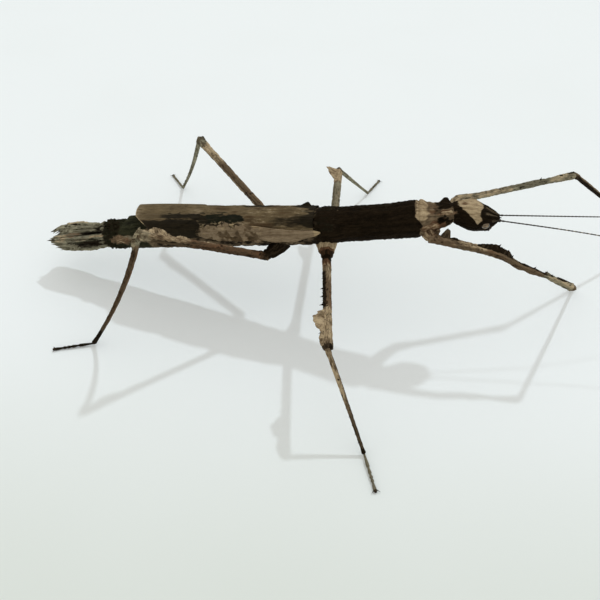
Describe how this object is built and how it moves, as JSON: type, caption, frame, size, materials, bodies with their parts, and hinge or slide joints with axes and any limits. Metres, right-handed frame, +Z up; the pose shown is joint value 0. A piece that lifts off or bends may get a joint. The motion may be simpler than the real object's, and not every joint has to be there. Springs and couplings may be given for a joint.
{
  "type": "stick insect",
  "caption": "Still life-size museum model of a large winged twig-mimic stick insect standing with its left foreleg lifted.",
  "frame": {"origin": "middle of the bounding box, on the floor under the standing insect", "axes": "+X towards the head, +Y to the insect's left, +Z up"},
  "size_m": [0.2548, 0.1752, 0.056],
  "materials": {
    "lichen_bark": "matt, frayed and grooved",
    "green_bark": "matt, knobbly",
    "brown_bark": "matt, wrinkled",
    "dark_bark": "matt, finely granular",
    "pale_bark": "matt, ridged",
    "eye": "glossy",
    "wing": "satin, leathery",
    "tegmen": "matt, rough",
    "feeler": "satin, ringed",
    "leg": "matt, mottled",
    "foot": "satin"
  },
  "bodies": {
    "root": {"tail": "lichen_bark", "abdomen_8": "green_bark", "abdomen_7": "green_bark", "abdomen_5_6": "brown_bark", "abdomen_3_4": "brown_bark", "abdomen_1_2": "brown_bark", "metathorax": "brown_bark", "mesothorax": "dark_bark", "pronotum": "pale_bark", "head": "dark_bark", "eye_right": "eye", "eye_left": "eye", "hindwing_right": "wing", "hindwing_left": "wing", "tegmen_right": "tegmen", "tegmen_left": "tegmen", "antenna_left": "feeler", "antenna_right": "feeler", "coxa_fore_right": "pale_bark", "femur_fore_right": "leg", "tibia_fore_right": "leg", "tarsus_fore_right": "foot", "coxa_fore_left": "pale_bark", "femur_fore_left": "leg", "tibia_fore_left": "leg", "tarsus_fore_left": "foot", "coxa_mid_right": "pale_bark", "femur_mid_right": "leg", "tibia_mid_right": "leg", "tarsus_mid_right": "foot", "coxa_mid_left": "pale_bark", "femur_mid_left": "leg", "tibia_mid_left": "leg", "tarsus_mid_left": "foot", "coxa_hind_right": "pale_bark", "femur_hind_right": "leg", "tibia_hind_right": "leg", "tarsus_hind_right": "foot", "coxa_hind_left": "pale_bark", "femur_hind_left": "leg", "tibia_hind_left": "leg", "tarsus_hind_left": "foot"}
  },
  "joints": []
}
